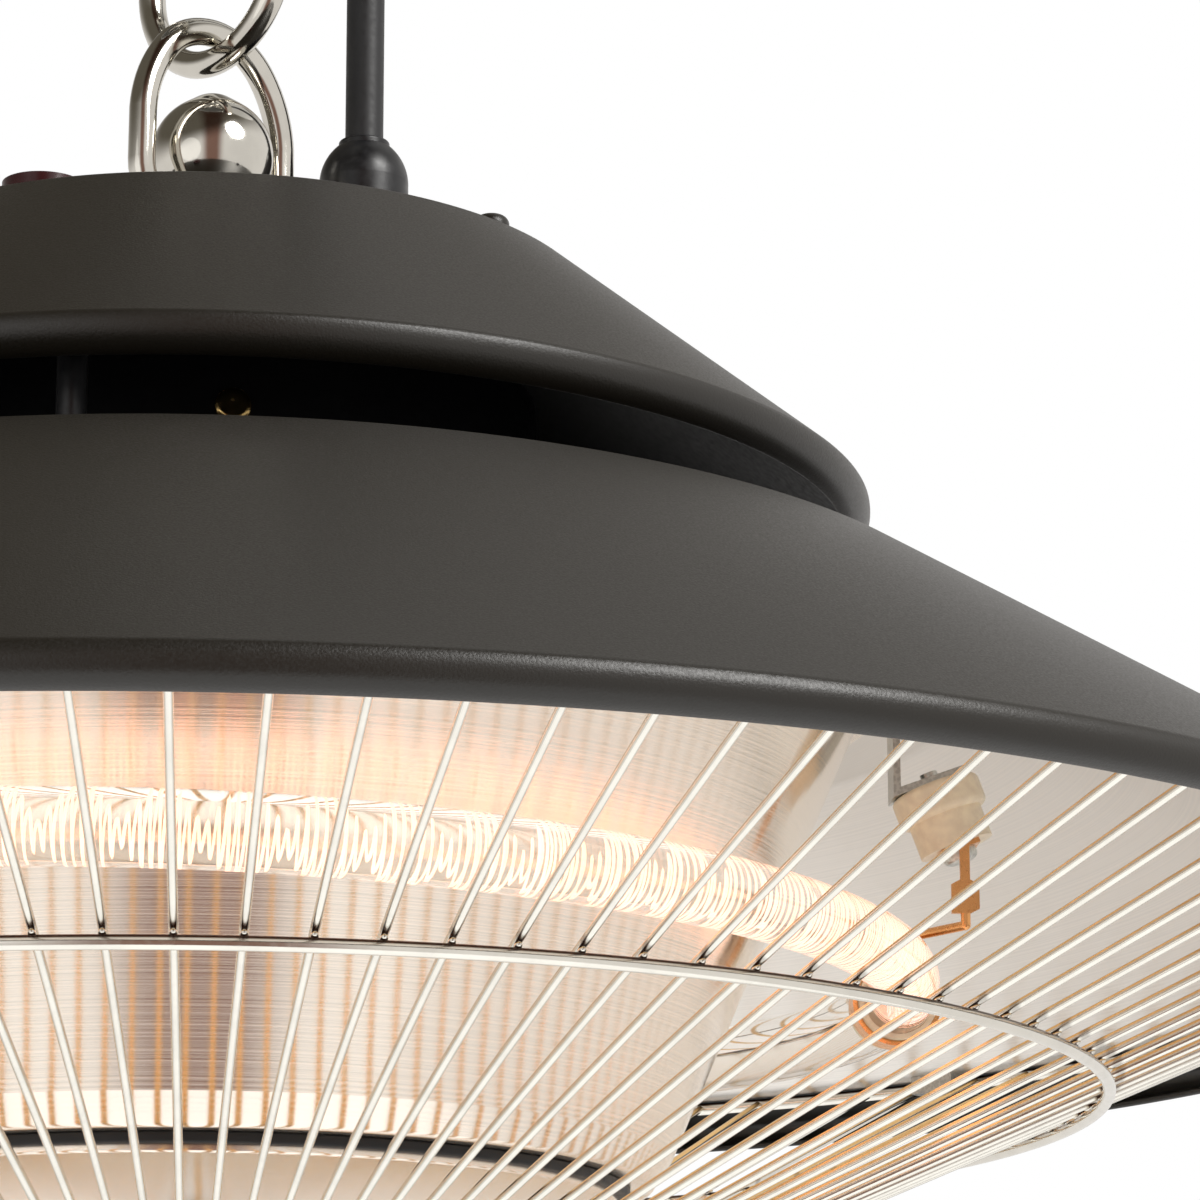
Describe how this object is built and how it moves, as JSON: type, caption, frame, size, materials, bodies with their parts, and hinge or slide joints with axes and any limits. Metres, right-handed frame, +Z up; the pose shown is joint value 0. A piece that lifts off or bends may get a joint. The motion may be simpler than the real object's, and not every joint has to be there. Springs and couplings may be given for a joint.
{
  "type": "hanging patio heater",
  "caption": "Ceiling-hung radiant patio heater: tiered spun shade over a ring-shaped quartz lamp, bright reflectors and a radial wire guard, on a short chain from a ceiling plate.",
  "frame": {"origin": "centre of the ceiling plate, on the face that lies against the ceiling", "axes": "+Z up into the ceiling, -Y towards the viewer of the picture, +X to the right; the mains cord is on the +X side of the chain"},
  "size_m": [0.4264, 0.4264, 0.3678],
  "materials": {
    "shell": "satin bronze-grey powder coat with a fine texture",
    "black_steel": "matt black coat",
    "chrome": "bright nickel-chrome plating",
    "guard": "bright plated wire",
    "zinc": "zinc-plated steel",
    "gold_screw": "yellow-passivated screws",
    "aluminium": "polished spun aluminium with fine turning lines",
    "quartz": "clear quartz glass",
    "filament": "glowing resistance wire",
    "ceramic": "ivory steatite ceramic",
    "copper": "copper strip and wire",
    "black_plastic": "moulded black nylon",
    "black_rubber": "black rubber",
    "red_lens": "dark red moulded lens"
  },
  "bodies": {
    "ceiling": {"ceiling_plate": "zinc", "ceiling_hook": "chrome", "hook_nut": "zinc", "cord_bush": "black_rubber"},
    "link_upper": {"chain_link_upper": "chrome"},
    "link_lower": {"chain_link_lower": "chrome"},
    "ring": {"hanging_ring": "chrome"},
    "heater": {"top_cap": "shell", "lower_dome": "shell", "housing_base": "black_steel", "housing_lid": "black_steel", "cap_posts": "black_steel", "hanging_stud": "chrome", "guard_wires": "guard", "guard_ring": "guard", "guard_outer_ring": "guard", "guard_hub": "guard", "stud_washer": "zinc", "stud_nut": "zinc", "housing_upper_nut": "zinc", "housing_lower_nut": "zinc", "cap_bridge": "zinc", "cover_bar": "zinc", "holder_brackets": "zinc", "guard_clips": "zinc", "guard_clip_screws": "zinc", "cap_screws": "zinc", "housing_flange_screws": "zinc", "reflector_spacers": "zinc", "cover_screw": "zinc", "holder_screws": "zinc", "housing_side_screws": "gold_screw", "reflector_dish": "aluminium", "reflector_cone": "aluminium", "bottom_cover": "aluminium", "lamp_tube": "quartz", "lamp_filament": "filament", "lamp_holders": "ceramic", "terminal_block": "ceramic", "lamp_end_caps": "ceramic", "lamp_clips": "copper", "lamp_leads": "copper", "lamp_bands": "copper", "cable_gland": "black_plastic", "gland_nut": "black_plastic", "gland_locknut": "black_plastic", "power_cord": "black_rubber", "cover_gasket": "black_rubber", "indicator_lens": "red_lens"}
  },
  "joints": [
    {"name": "upper_link_swing", "type": "hinge", "parent": "ceiling", "child": "link_upper", "pos_m": [0, 0, -0.06168], "axis": [0.6428, -0.766, 0], "range_deg": [-30, 30], "deforming": ["power_cord"]},
    {"name": "lower_link_swing", "type": "hinge", "parent": "link_upper", "child": "link_lower", "pos_m": [0, 0, -0.09968], "axis": [0.766, 0.6428, 0], "range_deg": [-30, 30], "deforming": ["power_cord"]},
    {"name": "ring_swing", "type": "hinge", "parent": "link_lower", "child": "ring", "pos_m": [0, 0, -0.13418], "axis": [0.6428, -0.766, 0], "range_deg": [-30, 30], "deforming": ["power_cord"]},
    {"name": "heater_swing", "type": "hinge", "parent": "ring", "child": "heater", "pos_m": [0, 0, -0.15558], "axis": [0.766, 0.6428, 0], "range_deg": [-30, 30], "deforming": ["power_cord"]}
  ]
}
